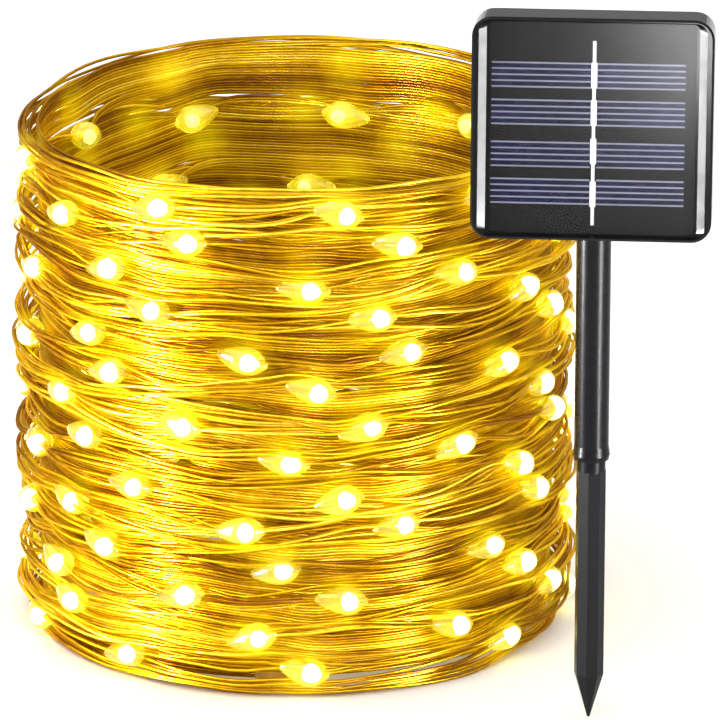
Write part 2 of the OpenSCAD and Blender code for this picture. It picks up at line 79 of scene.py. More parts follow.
# How far the strands close up inside a bead, how low they may lie, and how far from a bead the glow painted
# on them reaches
GATHERED = 0.75
STRAND_FLOOR = 0.6 * STRAND_D
PAINTED_GLOW_REACH = 8 * MM
# Drifts of each strand, as wander() takes them: sideways, in depth, and in colour
SIDE_DRIFT = (20, (0.21, 0.12, 0.06), 1.3 * MM)
DEPTH_DRIFT = (30, (0.17, 0.09), 0.5 * MM)
TONE_DRIFT = (40, (0.61, 0.27, 0.15), 1.0)

# The winding: loose outer turns in bulging bands, over inner turns laid side by side
INNER_WALL_R = 81.8 * MM
LOOSE_R = 84.6 * MM
BAND_DEPTH, BAND_PITCH, BAND_NOTCH_Z = 5.6 * MM, 38.7 * MM, 71.9 * MM
BAND_FULLNESS, NOTCH_WAVE = 0.6, 3 * MM
SHOULDER_DEPTH, SHOULDER_REACH = 3.2 * MM, 6 * MM
RIM_RAISE = 3 * MM
# Height of the lowest turns' centreline, and depth of the highest turns' one below the CAD solid's top
FLOOR_GAP, RIM_GAP = 1.6 * MM, 1.2 * MM
# The outer turns drift up and down, and in and out between the inner wall (0) and the surface (1)
HEIGHT_DRIFT = (1, (0.41, 0.19, 0.094), 4.5 * MM)
SURFACE_DRIFT = (3, (0.31, 0.17, 0.083), 0.22)
SURFACING = 0.85
# Near the floor and the rim, over this reach, the turns drift less, down to this part of the full drift
ORDERED_REACH, LEAST_FREEDOM = 16 * MM, 0.05
# Waves of the inner wall, up and down and in and out, as ripple() takes them
INNER_WAVES = ((1.2 * MM, 3, 60 * MM), (0.8 * MM, 5, -50 * MM))
INNER_RIPPLE = ((0.4 * MM, 4, 31 * MM),)
WAVES_FROM_RIM = 12 * MM
# Turns, in radians, over which the string's two ends and its step inwards at the rim are eased
EASE_START, EASE_END, EASE_RIM = 0.7, 0.5, 0.8

# How a bead bends the winding: the reach of its pull, slant and hold, the least room between two beads, and
# the radians either side within which its own turn bends
BEAD_PULL, BEAD_SLANT, BEAD_HOLD = 17 * MM, 11 * MM, 12 * MM
BEAD_APART = 1.5 * BEAD_L
BEAD_BEND = 0.9
# Length over which a bead draws its turn in or out, and height over which other turns follow it
OUTER_REACH, OUTER_SHARE = 15 * MM, 8 * MM
INNER_REACH, INNER_SHARE = 11 * MM, 22 * MM
# Depth to which the outer turns sink under a bead, and how far round and how far up
DIMPLE, DIMPLE_REACH, DIMPLE_HEIGHT = 2.8 * MM, 12 * MM, 4.6 * MM
# How far round and up the inner turns close up beside a bead, and how sharply at its own height
CLOSE_REACH, CLOSE_HEIGHT, CLOSE_STEP = 13 * MM, 14 * MM, 0.8 * MM

# The lead
LEAD_D = 2.4 * MM
LEAD_PITCH = 2.45 * MM
LEAD_COLUMNS, LEAD_ROWS = 5, 4
LEAD_COIL_R = 13.5 * MM
LEAD_SIDES, LEAD_STEPS = 12, 24
# Parts of a turn: run straight before it moves to the next column, and taken to drop to the next row
LEAD_STRAIGHT, LEAD_DROP = 0.5, 0.25


# ---------- camera ----------

def add_camera():
    """A long lens a little to the right of the front, looking down on the object."""
    azimuth, elevation, distance = math.radians(4.5), math.radians(17.88), 1.9
    target = Vector((-0.0711, 0, 0.1144))
    back = Vector((math.sin(azimuth) * math.cos(elevation), -math.cos(azimuth) * math.cos(elevation),
                   math.sin(elevation)))
    data = bpy.data.cameras.new("camera")
    data.lens = 310.6
    camera = bpy.data.objects.new("camera", data)
    camera.location = target + back * distance
    camera.rotation_mode = "QUATERNION"
    camera.rotation_quaternion = (-back).to_track_quat("-Z", "Y")
    bpy.context.scene.collection.objects.link(camera)
    bpy.context.scene.camera = camera


# ---------- meshes ----------

def add_mesh(name, points, faces, smooth=True):
    data = bpy.data.meshes.new(name)
    data.from_pydata([tuple(p) for p in points], [], [tuple(f) for f in faces])
    data.polygons.foreach_set("use_smooth", [smooth] * len(data.polygons))
    data.update()
    piece = bpy.data.objects.new(name, data)
    bpy.context.scene.collection.objects.link(piece)
    return piece


def add_attribute(piece, name, values):
    """A number on every point of the mesh, which its material reads."""
    layer = piece.data.attributes.new(name, "FLOAT", "POINT")
    layer.data.foreach_set("value", np.asarray(values, np.float32))


def unit(v):
    return v / np.linalg.norm(v, axis=-1, keepdims=True)


def tube(centres, radius, sides):
    """A closed tube along a path: rings carried from one to the next without twist, as points and faces."""
    along = unit(np.gradient(centres, axis=0))
    normal = np.empty_like(along)
    carried = np.array([0.3, 0.1, 1.0])
    for i, heading in enumerate(along):
        carried = carried - (carried @ heading) * heading
        carried = carried / math.sqrt(carried @ carried)
        normal[i] = carried
    across = np.cross(along, normal)
    angles = np.arange(sides) * TURN / sides
    rings = (centres[:, None, :] + radius * (np.cos(angles)[None, :, None] * normal[:, None, :]
                                             + np.sin(angles)[None, :, None] * across[:, None, :]))
    count = len(centres)
    start = (np.arange(count - 1) * sides)[:, None]
    k = np.arange(sides)[None, :]
    after = (k + 1) % sides
    faces = np.stack([start + k, start + after, start + sides + after, start + sides + k], -1).reshape(-1, 4)
    ends = [list(range(sides))[::-1], list(range((count - 1) * sides, count * sides))]
    return rings.reshape(-1, 3), faces.tolist() + ends


def smooth_route(points, steps):
    """The same rounded curve through the points as in the CAD source."""
    p = [np.array(q, float) for q in points]
    out = []
    for i in range(len(p) - 1):
        a, b, c, d = p[max(i - 1, 0)], p[i], p[i + 1], p[min(i + 2, len(p) - 1)]
        for s in range(steps):
            t = s / steps
            out.append(0.5 * (2 * b + (c - a) * t + (2 * a - 5 * b + 4 * c - d) * t ** 2
                              + (3 * b - a - 3 * c + d) * t ** 3))
    return np.array(out + [p[-1]])


# ---------- where the beads are ----------

def sin_deg(degrees):
    return math.sin(math.radians(degrees))


def outer_beads():
    """Radius, angle in degrees, height and slant in degrees of each outer bead, as in the CAD source."""
    for i in range(OUTER_ROWS):
        for k in range(OUTER_PER_ROW):
            number = i * OUTER_PER_ROW + k
            yield (OUTER_R, 360 / OUTER_PER_ROW * (k + (i * GOLDEN) % 1) + 5 * sin_deg(97 * number),
                   OUTER_FIRST_Z + OUTER_PITCH_Z * i + 0.9 * MM * sin_deg(61 * number),
                   14 * sin_deg(139 * (i * 5 + k)))


def inner_beads():
    for i in range(INNER_ROWS):
        for k in range(INNER_PER_ROW):
            number = i * INNER_PER_ROW + k
            step = (360 - 2 * LEAD_CLEAR) * (k + 0.2 + 0.6 * ((i * GOLDEN) % 1)) / INNER_PER_ROW
            yield (INNER_R, LEAD_SECTOR + LEAD_CLEAR + step,
                   INNER_FIRST_Z + INNER_PITCH_Z * i + 3 * MM * sin_deg(83 * number),
                   14 * sin_deg(139 * (i * 5 + k)))


def bead_axes(bead):
    """A bead's centre, and its own three directions: outward, across, and along the wire."""
    radius, angle, height, slant = bead
    a, s = math.radians(angle), math.radians(slant)
    outward = np.array([math.cos(a), math.sin(a), 0])
    round_it = np.array([-math.sin(a), math.cos(a), 0])
    up = np.array([0, 0, 1])
    along = math.cos(s) * round_it + math.sin(s) * up
    across = np.cross(along, outward)
    centre = np.array([COIL_AT.x, COIL_AT.y, height]) + radius * outward
    return centre, outward, across, along


# ---------- the string ----------

# Points along the floor, in millimetres, from the splice to the foot of the winding
STRING_TAIL = [[-82.1, 116.5, 2.3], [-87, 123.3, 2], [-92, 131.6, 1.6], [-97, 141, 1.4],
               [-102.5, 149.5, 1.4], [-110, 157.5, 1.4], [-119.5, 164.3, 1.5], [-129, 168.2, 1.7]]
# Where the string's far end lies in the foot of the inner wall
END_ANGLE, END_Z, END_R = math.radians(-90), 4 * MM, 76.9 * MM


def wander(length, drift, strand=0):
    """A value that drifts smoothly along the string. A drift is a seed, wavelengths and a greatest size."""
    seed, waves, size = drift
    dice = random.Random(seed + strand)
    total = sum(math.sqrt(w) for w in waves)
    value = np.zeros_like(length)
    for w in waves:
        value += math.sqrt(w) / total * np.sin(TURN * (length / w + dice.random()))
    return size * value


def ripple(turn, height, waves):
    """Waves round the wall, each with a size, a number in a turn, and a height over which it shifts."""
    return sum(size * np.sin(count * turn + height / shift) for size, count, shift in waves)


def round_wall(turn, angle, radius):
    """Distance round the wall from each point to the place at this angle, in degrees."""
    return (np.mod(turn - math.radians(angle) + math.pi, TURN) - math.pi) * radius


def hold_beads(turn, radius, height, beads, reach, share):
    """Bends the winding, over the given reach, so that it runs through each bead along the bead's own axis.

    Turns within about the height share follow it up and down, which keeps most of the wall closed. Also
    gives 1 where the string is inside a bead, falling to 0 away from it.
    """
    base_r, base_z = radius.copy(), height.copy()
    held = np.zeros_like(turn)
    lo, hi = turn[0], turn[-1]
    used = []
    for r, angle, z, slant in beads:
        first = math.radians(angle) + TURN * math.ceil((lo - math.radians(angle)) / TURN)
        places = np.arange(first, hi, TURN)
        miss = np.abs(np.interp(places, turn, base_z) - z)
        for place in places[np.argsort(miss)]:
            if all(abs(place - other) * r > BEAD_APART for other in used):
                break
        used.append(place)
        slope = math.tan(math.radians(slant))
        near = slice(*np.searchsorted(turn, [place - BEAD_BEND, place + BEAD_BEND]))
        away = (turn[near] - place) * r
        pull = np.exp(-(away / BEAD_PULL) ** 2)
        there = np.interp(place, turn, base_z)
        beside = round_wall(turn, angle, r)
        follow = np.exp(-np.abs(base_z - there) / share)
        follow[near] = 0
        height += follow * (np.exp(-(beside / BEAD_PULL) ** 2) * (z - there)
                            + slope * beside * np.exp(-(beside / BEAD_SLANT) ** 2))
        height[near] += pull * (z - there)
        height[near] += slope * away * np.exp(-(away / BEAD_SLANT) ** 2) - pull * (base_z[near] - there)
        radius[near] += np.exp(-(away / reach) ** 2) * (r - base_r[near])
        held[near] = np.maximum(held[near], np.exp(-(away / BEAD_HOLD) ** 4))
    return radius, height, held


def close_up(turn, height, beads, pitch):
    """Draws the neighbouring turns together where one turn leaves the wall for a bead."""
    shift = np.zeros_like(height)
    for r, angle, z, _ in beads:
        away = round_wall(turn, angle, r)
        above = height - z
        shift -= (pitch / 2 * np.exp(-(away / CLOSE_REACH) ** 2 - np.abs(above) / CLOSE_HEIGHT)
                  * np.tanh(above / CLOSE_STEP))
    return height + shift


def ease(distance, reach):
    """1 at no distance, falling smoothly to 0 at reach."""
    t = np.clip(1 - distance / reach, 0, 1)
    return t * t * (3 - 2 * t)


def loose_radius(turn, height):
    """Radius of the outer turns: bands that bulge between pinched rings, and rounded shoulders."""
    notch = BAND_NOTCH_Z + NOTCH_WAVE * np.sin(2 * turn + 1)
    band = np.abs(np.sin(math.pi * (height - notch) / BAND_PITCH)) ** BAND_FULLNESS
    shoulder = np.exp(-height / SHOULDER_REACH) + np.exp(-(COIL_H - height) / SHOULDER_REACH)
    return LOOSE_R + BAND_DEPTH * band - SHOULDER_DEPTH * shoulder


def sink_under_beads(turn, radius, height, beads):
    """Presses the turns inwards where they pass under a bead, so that the beads lie on top."""
    sunk = np.zeros_like(radius)
    for r, angle, z, _ in beads:
        away = round_wall(turn, angle, r)
        sunk = np.maximum(sunk, np.exp(-(away / DIMPLE_REACH) ** 2 - ((height - z) / DIMPLE_HEIGHT) ** 2))
    return radius - DIMPLE * sunk


def winding_path():
    """The string's centreline: along the floor, up in the loose outer turns, then down in the inner ones.

    Also says how loosely each point lies, from 0 in the inner turns to 1 in the outer ones, and where a bead
    holds it.
    """
    tail = smooth_route(STRING_TAIL, 6) * MM
    meet = tail[-1]
    start = math.atan2(meet[1] - COIL_AT.y, meet[0] - COIL_AT.x)
    end = END_ANGLE + TURN * math.ceil((start - END_ANGLE) / TURN)
    top = start + TURN * OUTER_TURNS
    last = end + TURN * (OUTER_TURNS + INNER_TURNS)
    step = RING_STEP / OUTER_R
    up_turn = np.arange(start, top, step)
    down_turn = np.arange(top, last, step)
    turn = np.concatenate([up_turn, down_turn])
    low, high = FLOOR_GAP, COIL_H - RIM_GAP
    # A full turn lies on the floor and another along the rim
    climb = np.clip(((up_turn - start) / TURN - 1) / (OUTER_TURNS - 2), 0, 1)
    up_z = low + (high - low) * climb
    # The lowest and the highest turns lie in order, and those between them wander
    freedom = np.clip(np.minimum(up_z - low, high - up_z) / ORDERED_REACH, LEAST_FREEDOM, 1)
    up_z = up_z + freedom * wander(up_turn * OUTER_R, HEIGHT_DRIFT)
    up_z = np.clip(up_z, low, high)
    # Some turns lie deep against the inner ones and some at the surface
    under = INNER_WALL_R + STRAND_D
    surfacing = SURFACING + wander(up_turn * OUTER_R, SURFACE_DRIFT)
    up_r = under + (loose_radius(up_turn, up_z) - under) * surfacing
    up_r = np.maximum(sink_under_beads(up_turn, up_r, up_z, outer_beads()), under)
    up_r, up_z, up_held = hold_beads(up_turn, up_r, up_z, outer_beads(), OUTER_REACH, OUTER_SHARE)
    down_z = high + (END_Z - high) * (down_turn - top) / (last - top)
    # Neighbouring inner turns wave together, so the waves open no gap between them
    wave = ripple(down_turn, down_z, INNER_WAVES)
    down_z = down_z + wave * np.clip((high - down_z) / WAVES_FROM_RIM, 0, 1)
    down_r = INNER_WALL_R + ripple(down_turn, down_z, INNER_RIPPLE)
    down_z = close_up(down_turn, down_z, inner_beads(), (high - END_Z) / INNER_TURNS)
    down_r, down_z, down_held = hold_beads(down_turn, down_r, down_z, inner_beads(), INNER_REACH,
                                           INNER_SHARE)
    height = np.clip(np.concatenate([up_z, down_z]), low, high)
    height = height + RIM_RAISE * (height / high) ** 2 * np.clip(np.sin(turn), 0, 1)
    radius = np.concatenate([up_r, down_r])
    # Its ends and the step from the outer to the inner turns are eased
    begin = ease(turn - start, EASE_START)
    finish = ease(last - turn, EASE_END)
    meet_r = math.hypot(meet[0] - COIL_AT.x, meet[1] - COIL_AT.y)
    radius = radius * (1 - begin) + meet_r * begin
    height = height * (1 - begin) + meet[2] * begin
    radius = radius * (1 - finish) + END_R * finish
    height = height * (1 - finish) + END_Z * finish
    step_in = ease(np.abs(turn - top), EASE_RIM)
    radius = radius * (1 - step_in) + (LOOSE_R + INNER_WALL_R) / 2 * step_in
    winding = np.stack([COIL_AT.x + radius * np.cos(turn), COIL_AT.y + radius * np.sin(turn), height], 1)
    loose = np.clip((top - turn) / EASE_RIM, 0, 1) * (1 - begin)
    flat = np.zeros(len(tail) - 1)
    return (np.concatenate([tail[:-1], winding]), np.concatenate([flat, loose]),
            np.concatenate([flat, up_held, down_held]))


def near_beads(points, centres, reach):
    """How close each point is to a bead: 1 at its centre, falling away over reach."""
    nearest = np.empty(len(points))
    batch = 2000
    for start in range(0, len(points), batch):
        part = points[start:start + batch]
        nearest[start:start + batch] = np.linalg.norm(part[:, None] - centres[None], axis=2).min(1)
    return np.exp(-(nearest / reach) ** 2)


def add_string():
    """Three strands that wander about the string's centreline and close up inside each bead."""
    path, loose, held = winding_path()
    centres = np.array([bead_axes(b)[0] for b in list(outer_beads()) + list(inner_beads())])
    length = np.concatenate([[0], np.cumsum(np.linalg.norm(np.diff(path, axis=0), axis=1))])
    outward = path - np.array([COIL_AT.x, COIL_AT.y, 0])
    outward[:, 2] = 0
    outward = unit(outward)
    strands = []
    for i in range(3):
        side = (i - 1) * STRAND_SPREAD + loose * wander(length, SIDE_DRIFT, i)
        depth = STRAND_DEPTHS[i] + loose * (LOOSE_DEPTHS[i] + wander(length, DEPTH_DRIFT, i))
        free = 1 - GATHERED * held
        centreline = path + (depth * free)[:, None] * outward
        centreline[:, 2] = np.maximum(centreline[:, 2] + side * free, STRAND_FLOOR)
        points, faces = tube(centreline, STRAND_D / 2, STRAND_SIDES)
        strand = add_mesh(f"string_strand_{i + 1}", points, faces)
        # Painted glow: closeness to a bead, which the wire's material turns into emission
        glow = near_beads(centreline, centres, PAINTED_GLOW_REACH)
        tone = wander(length, TONE_DRIFT, i)
        add_attribute(strand, "glow", np.repeat(glow, STRAND_SIDES))
        add_attribute(strand, "tone", np.repeat(tone, STRAND_SIDES))
        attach(strand, "head")
        strands.append((strand, centreline))
    for strand, _ in strands:
        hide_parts("wire_coil", "string_tail")
    return [s for s, _ in strands]


# ---------- the lead ----------

# Points in millimetres, from the gland over the rim and down the inner wall to the lead's own coil
LEAD_ROUTE = [[-12, 3.6, 171.6], [-12, 11, 171], [-13, 20, 170], [-15.5, 29, 169], [-19.5, 38, 168.1],
              [-24.5, 46, 167.4], [-29.5, 53, 166.9], [-34, 58.5, 166.2], [-37.5, 61.5, 163],
              [-40, 62.5, 157], [-41, 62.8, 147], [-41, 62.5, 130], [-41, 62.5, 110], [-41, 62.5, 90],
              [-41, 62.5, 70], [-41, 62.5, 50], [-41.2, 62.6, 34], [-42.6, 64.4, 22], [-46, 69, 13.5],
              [-51, 75.2, 9.9], [-56.5, 82.4, 8.9], [-61.7, 89.3, 8.6]]
ROUTE_HEADING = np.array([-0.6, 0.8])
LEAD_TAIL_L = 12 * MM


def lead_turns(meet):
    """The lead's own coil: in and out again, row by row from the top, ending below where it began."""
    outer_r = LEAD_COIL_R + (LEAD_COLUMNS - 1) / 2 * LEAD_PITCH
    inner_r = LEAD_COIL_R - (LEAD_COLUMNS - 1) / 2 * LEAD_PITCH
    centre = meet + outer_r * np.array([-ROUTE_HEADING[1], ROUTE_HEADING[0]])
    first = math.atan2(*(meet - centre)[::-1])
    points = []
    for i in range(LEAD_COLUMNS * LEAD_ROWS * LEAD_STEPS + 1):
        turns = i / LEAD_STEPS
        row = min(int(turns // LEAD_COLUMNS), LEAD_ROWS - 1)
        inside = turns - row * LEAD_COLUMNS
        crossed = min(max(inside - LEAD_STRAIGHT, 0), LEAD_COLUMNS - 1)
        radius = outer_r - crossed * LEAD_PITCH if row % 2 == 0 else inner_r + crossed * LEAD_PITCH
        dropped = min(max((inside - LEAD_COLUMNS + LEAD_DROP) / LEAD_DROP, 0), 1)
        sunk = row + (dropped if row < LEAD_ROWS - 1 else 0)
        height = (LEAD_ROWS - 0.5 - sunk) * LEAD_PITCH
        angle = first + TURN * turns
        points.append([centre[0] + radius * math.cos(angle), centre[1] + radius * math.sin(angle), height])
    return np.array(points)


def add_lead():
    route = smooth_route(LEAD_ROUTE, 3) * MM
    meet = route[-1][:2]
    turns = lead_turns(meet)
    tail_end = meet + LEAD_TAIL_L * ROUTE_HEADING
    tail = [[*(meet + (tail_end - meet) * t), LEAD_D / 2 + t * MM] for t in (0.5, 1)]
    points = np.concatenate([route[:-1], turns, tail])
    lead = add_mesh("lead", *tube(points, LEAD_D / 2, LEAD_SIDES))
    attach(lead, "head")
    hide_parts("lead_cable", "lead_coil", "lead_tail")
    return lead


# ---------- beads ----------

# Half outline of a drop: distance from its axis and place along it, as parts of its width and length
DROP_OUTLINE = [(0, 0), (0.07, 0), (0.12, 0.02), (0.21, 0.1), (0.32, 0.22), (0.42, 0.36), (0.48, 0.5),
                (0.5, 0.62), (0.46, 0.74), (0.35, 0.85), (0.18, 0.94), (0.09, 1), (0, 1)]
CHIP_AT = 0.63
DROP_SIDES = 20
DROP_WIDTHS, DROP_LENGTHS = (0.9, 1.0), (0.93, 1.0)
# Uneven swellings of a drop: how many, their sizes, their numbers of lobes, and how far they twist along it
LUMPS, LUMP_SIZES, LUMP_LOBES, LUMP_TWIST = 4, (0.012, 0.035), (2, 3, 3, 4, 5), 4
# How far round its chip the glow painted into the resin reaches
RESIN_GLOW_REACH = 4.2 * MM
# The lit core: its half width, and how far it lies outward of the bead's axis
OUTER_CORE, INNER_CORE = (2.4 * MM, 1.3 * MM), (1.9 * MM, -1.3 * MM)
CORE_SIDES, CORE_RINGS = 12, 7
CORE_WIDTHS, CORE_LENGTHS, CORE_LEAN, CORE_LUMP = (0.9, 1.05), (0.95, 1.25), 0.2, 0.06


def drop_shape(dice):
    """One drop's points round its own axis, a little uneven as hand-dipped resin is."""
    outline = smooth_route([(r, z, 0) for r, z in DROP_OUTLINE[1:-1]], 3)[:, :2]
    lumps = [(dice.uniform(*LUMP_SIZES), dice.choice(LUMP_LOBES), dice.uniform(0, TURN),
              dice.uniform(-LUMP_TWIST, LUMP_TWIST)) for _ in range(LUMPS)]
    width = BEAD_D * dice.uniform(*DROP_WIDTHS)
    length = BEAD_L * dice.uniform(*DROP_LENGTHS)
    angles = np.arange(DROP_SIDES) * TURN / DROP_SIDES
    points = []
    for r, z in outline:
        swell = np.ones(DROP_SIDES)
        for size, lobes, phase, twist in lumps:
            fade = math.sin(math.pi * min(max(z, 0), 1))
            swell += size * np.sin(lobes * angles + phase + twist * z) * fade
        points.append(np.stack([r * width * swell * np.cos(angles), r * width * swell * np.sin(angles),
                                np.full(DROP_SIDES, (z - 0.5) * length)], 1))
    return np.concatenate(points), len(outline)


def add_drops(name, beads, seed):
    dice = random.Random(seed)
    points, faces, near, count = [], [], [], 0
    for bead in beads:
        centre, outward, across, along = bead_axes(bead)
        shape, rings = drop_shape(dice)
        # Closeness to the chip, which the resin's material turns into a painted glow
        near.append(np.exp(-((shape[:, 2] - (CHIP_AT - 0.5) * BEAD_L) / RESIN_GLOW_REACH) ** 2))
        points.append(centre + shape[:, :1] * outward + shape[:, 1:2] * across + shape[:, 2:] * along)
        for ring in range(rings - 1):
            a = count + ring * DROP_SIDES
            for k in range(DROP_SIDES):
                b = (k + 1) % DROP_SIDES
                faces.append((a + k, a + b, a + DROP_SIDES + b, a + DROP_SIDES + k))
        faces.append(tuple(range(count + DROP_SIDES - 1, count - 1, -1)))
        faces.append(tuple(range(count + (rings - 1) * DROP_SIDES, count + rings * DROP_SIDES)))
        count += rings * DROP_SIDES
    drops = add_mesh(name, np.concatenate(points), faces)
    add_attribute(drops, "core", np.concatenate(near))
    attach(drops, "head")
    return drops


def add_cores(name, beads, size, forward, seed):
    """The lit phosphor over each chip: a small uneven dome with its own tilt, sealed in the resin.

    It lies a little outward of the bead's axis, or inward where forward is negative.
    """
    dice = random.Random(seed)
    sides, rings = CORE_SIDES, CORE_RINGS
    angles = np.arange(sides) * TURN / sides
    points, faces = [], []
    for bead in beads:
        centre, outward, across, along = bead_axes(bead)
        centre = centre + (CHIP_AT - 0.5) * BEAD_L * along + forward * outward
        wide = size * dice.uniform(*CORE_WIDTHS)
        long = size * dice.uniform(*CORE_LENGTHS)
        lean = dice.uniform(-CORE_LEAN, CORE_LEAN)
        first = len(points) * (sides * rings + 2)
        shape = [(0, 0, -long)]
        for k in range(1, rings + 1):
            polar = math.pi * k / (rings + 1)
            swell = wide * math.sin(polar) * (1 + CORE_LUMP * np.sin(3 * angles + 5 * k))
            z = -long * math.cos(polar)
            shape += [(swell[m] * math.cos(a) + lean * z, swell[m] * math.sin(a), z)
                      for m, a in enumerate(angles)]
        shape = np.array(shape + [(0, 0, long)])
        points.append(centre + shape[:, :1] * outward + shape[:, 1:2] * across + shape[:, 2:] * along)
        for m in range(sides):
            after = (m + 1) % sides
            faces.append((first, first + 1 + after, first + 1 + m))
            for k in range(rings - 1):
                a = first + 1 + k * sides
                faces.append((a + m, a + after, a + sides + after, a + sides + m))
            a = first + 1 + (rings - 1) * sides
            faces.append((a + m, a + after, first + 1 + rings * sides))
    cores = add_mesh(name, np.concatenate(points), faces)
    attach(cores, "head")
    return cores


# ---------- materials ----------

class Look:
    """A node material with one Principled shader. Plain values are set on the shader's own sockets."""

    def __init__(self, name, **values):
        self.material = bpy.data.materials.new(name)
        self.material.use_nodes = True
        self.tree = self.material.node_tree
        self.shader = self.tree.nodes["Principled BSDF"]
        for socket, value in values.items():
            self.shader.inputs[socket.replace("_", " ")].default_value = value

    def node(self, kind, inputs=None, **settings):
        made = self.tree.nodes.new(kind)
        for name, value in settings.items():
            setattr(made, name, value)
        for name, value in (inputs or {}).items():
            if isinstance(value, bpy.types.NodeSocket):
                self.tree.links.new(value, made.inputs[name])
            else:
                made.inputs[name].default_value = value
        return made

    def feed(self, socket, output):
        self.tree.links.new(output, self.shader.inputs[socket])

    def place(self):
        return self.node("ShaderNodeTexCoord").outputs["Object"]

    def noise(self, scale, detail=3, roughness=0.5):
        made = self.node("ShaderNodeTexNoise", {"Scale": scale, "Detail": detail, "Roughness": roughness,
                                                "Vector": self.place()})
        return made.outputs["Fac"]

    def ramp(self, value, stops):
        made = self.node("ShaderNodeValToRGB", {"Fac": value})
        ramp = made.color_ramp
        while len(ramp.elements) < len(stops):
            ramp.elements.new(0.5)
        for element, (place, colour) in zip(ramp.elements, stops):
            element.position = place
            element.color = (*colour, 1)
        return made.outputs["Color"]

    def span(self, value, low, high, from_low=0.0, from_high=1.0):
        made = self.node("ShaderNodeMapRange", {"Value": value, "From Min": from_low, "From Max": from_high,
                                                "To Min": low, "To Max": high})
        return made.outputs["Result"]

    def maths(self, operation, a, b):
        made = self.node("ShaderNodeMath", {0: a, 1: b}, operation=operation)
        return made.outputs["Value"]

    def bump(self, height, distance):
        made = self.node("ShaderNodeBump", {"Height": height, "Distance": distance, "Strength": 1.0})
        self.feed("Normal", made.outputs["Normal"])

    def attribute(self, name):
        return self.node("ShaderNodeAttribute", attribute_name=name).outputs["Fac"]

    def on(self, *pieces):
        for piece in pieces:
            piece.data.materials.clear()
            piece.data.materials.append(self.material)


def plastic(name, colour, roughness, depth=0.012 * MM, shine=0.35):
    """Moulded plastic: a fine grain, slightly uneven gloss and sharp edges mixed toward a paler colour."""
    look = Look(name, Specular_IOR_Level=shine, IOR=1.27)
    # Sharp edges, found by pointiness, are mixed part way toward a paler copy of the colour
    sharp_edge_mask = look.span(look.node("ShaderNodeNewGeometry").outputs["Pointiness"], 0, 1, 0.52, 0.62)
    cloud = look.noise(90, 4, 0.6)
    edge_colour = tuple(min(1, c * 1.7 + 0.015) for c in colour)
    dark = tuple(c * 0.85 for c in colour)
    base = look.ramp(cloud, [(0.3, dark), (0.7, tuple(c * 1.12 for c in colour))])
    mix = look.node("ShaderNodeMix", {"Factor": look.maths("MULTIPLY", sharp_edge_mask, 0.35)}, data_type="RGBA")
    look.tree.links.new(base, mix.inputs["A"])
    mix.inputs["B"].default_value = (*edge_colour, 1)
    look.feed("Base Color", mix.outputs["Result"])
    look.feed("Roughness", look.span(look.noise(240, 4), roughness - 0.05, roughness + 0.08))
    look.bump(look.noise(2200, 2), depth)
    return look


def metal(name, colour, roughness):
    look = Look(name, Metallic=1.0)
    streaks = look.noise(700, 3)
    look.feed("Base Color", look.ramp(streaks, [(0.3, tuple(c * 0.8 for c in colour)), (0.7, colour)]))
    look.feed("Roughness", look.span(streaks, roughness - 0.08, roughness + 0.1))
    look.bump(look.noise(1500, 2), 0.008 * MM)
    return look


def rubber(name, colour, roughness=0.6):
    look = Look(name)
    cloud = look.noise(300, 4)
    look.feed("Base Color", look.ramp(cloud, [(0.3, tuple(c * 0.8 for c in colour)),
                                              (0.75, tuple(min(1, c * 1.25 + 0.005) for c in colour))]))
    look.feed("Roughness", look.span(cloud, roughness - 0.08, roughness + 0.1))
    look.bump(look.noise(2600, 2), 0.015 * MM)
    return look


def gold_wire():
    """Enamelled gold-coloured wire, with a painted glow near each bead and a faint painted glow all along.
    """
    look = Look("gold_wire", Metallic=1.0, Specular_Tint=(1.0, 0.72, 0.12, 1), Coat_Weight=0.16,
                Coat_Roughness=0.2)
    tone = look.span(look.attribute("tone"), 0, 1, -0.75, 0.75)
    fleck = look.noise(320)
    shade = look.maths("ADD", look.maths("MULTIPLY", tone, 0.75), look.maths("MULTIPLY", fleck, 0.3))
    look.feed("Base Color", look.ramp(shade, [(0.15, (0.16, 0.05, 0.0)), (0.42, (0.38, 0.185, 0.0)),
                                              (0.7, (0.55, 0.335, 0.002)), (0.95, (0.76, 0.55, 0.04))]))
    look.feed("Roughness", look.span(fleck, 0.28, 0.44))
    # Painted glow: the wire's emission, faint all along and strongest near a bead, stands in for the beads'
    # light falling on it
    glow = look.attribute("glow")
    look.feed("Emission Color", look.ramp(glow, [(0.0, (0.6, 0.3, 0.0)), (0.3, (1.0, 0.7, 0.0)),
                                                 (0.7, (1.0, 0.93, 0.0))]))
    look.feed("Emission Strength", look.span(glow, 0.03, 0.42, 0, 0.85))
    return look


def resin():
    """Warm clear resin round a lit chip, with a painted glow that is brightest round the chip."""
    look = Look("bead_resin", Transmission_Weight=0.8, IOR=1.4, Coat_Weight=0.5, Coat_Roughness=0.06)
    swirl = look.noise(420, 4, 0.6)
    look.feed("Base Color", look.ramp(swirl, [(0.3, (1.0, 0.86, 0.06)), (0.7, (1.0, 0.94, 0.2))]))
    look.feed("Roughness", look.span(swirl, 0.08, 0.24))
    # Painted glow: the resin's emission, strongest round the chip, stands in for the chip's light scattered
    # in it
    core = look.attribute("core")
    look.feed("Emission Color", look.ramp(core, [(0.1, (0.95, 0.8, 0.0)), (0.9, (1.0, 0.95, 0.05))]))
    look.feed("Emission Strength", look.span(core, 0.06, 0.28))
    look.bump(look.noise(600, 2), 0.12 * MM)
    return look


def lit_chip(name, colour, strength):
    look = Look(name, Roughness=0.4)
    spot = look.noise(900, 1)
    pale = tuple(min(1, c * 1.1) for c in colour)
    look.feed("Base Color", look.ramp(spot, [(0.3, colour), (0.7, pale)]))
    look.feed("Emission Color", look.ramp(spot, [(0.3, colour), (0.7, pale)]))
    look.feed("Emission Strength", look.span(spot, 0.85 * strength, 1.15 * strength))
    return look


